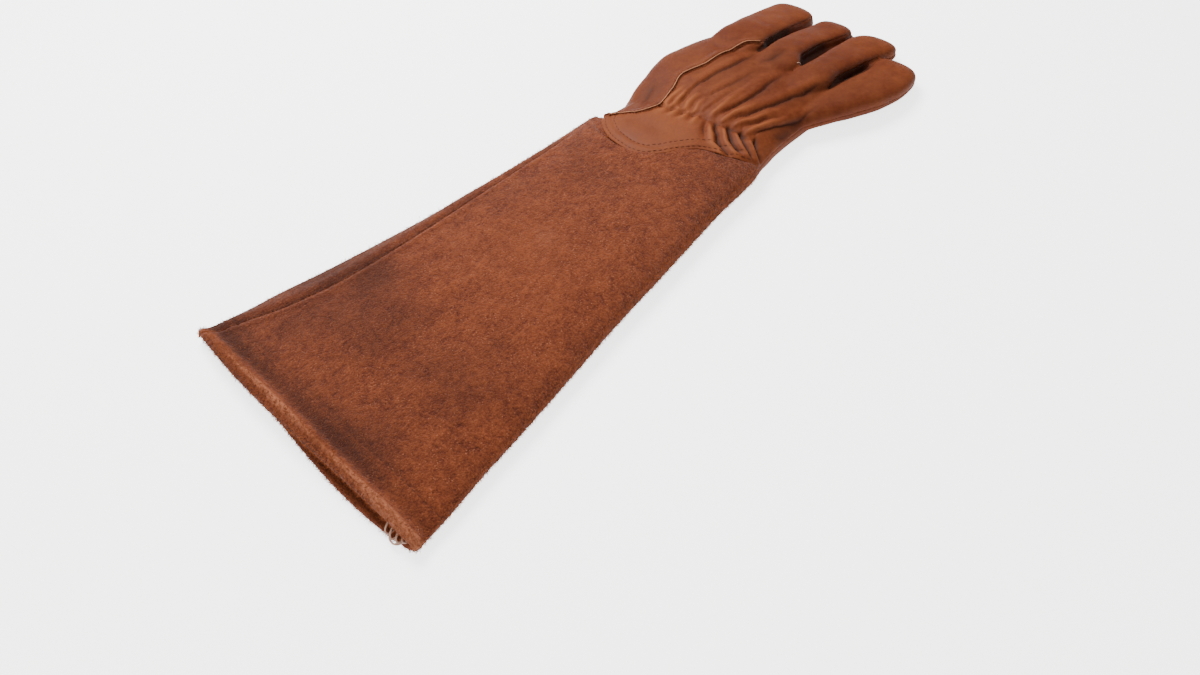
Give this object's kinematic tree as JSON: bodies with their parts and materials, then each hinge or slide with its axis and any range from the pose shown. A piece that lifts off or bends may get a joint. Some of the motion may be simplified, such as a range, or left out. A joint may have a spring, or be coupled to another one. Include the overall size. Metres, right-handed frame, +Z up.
{
  "type": "rose pruning gauntlet",
  "caption": "Long leather garden glove for the right hand, lying palm down: a flared suede cuff to the elbow, sewn to a smooth hand gathered at the wrist.",
  "frame": {"origin": "on the floor under the middle of the glove as it lies palm down", "axes": "+X from the cuff's mouth to the fingertips, +Y to the thumb side, +Z up from the floor"},
  "size_m": [0.474, 0.198, 0.0306],
  "materials": {
    "suede": "rough suede, napped",
    "smooth_leather": "smooth grain leather, satin"
  },
  "bodies": {
    "root": {"cuff": "suede", "hand_back": "smooth_leather", "palm": "smooth_leather", "thumb": "smooth_leather", "fourchette_index_middle": "smooth_leather", "fourchette_middle_ring": "smooth_leather", "fourchette_ring_little": "smooth_leather"}
  },
  "joints": []
}
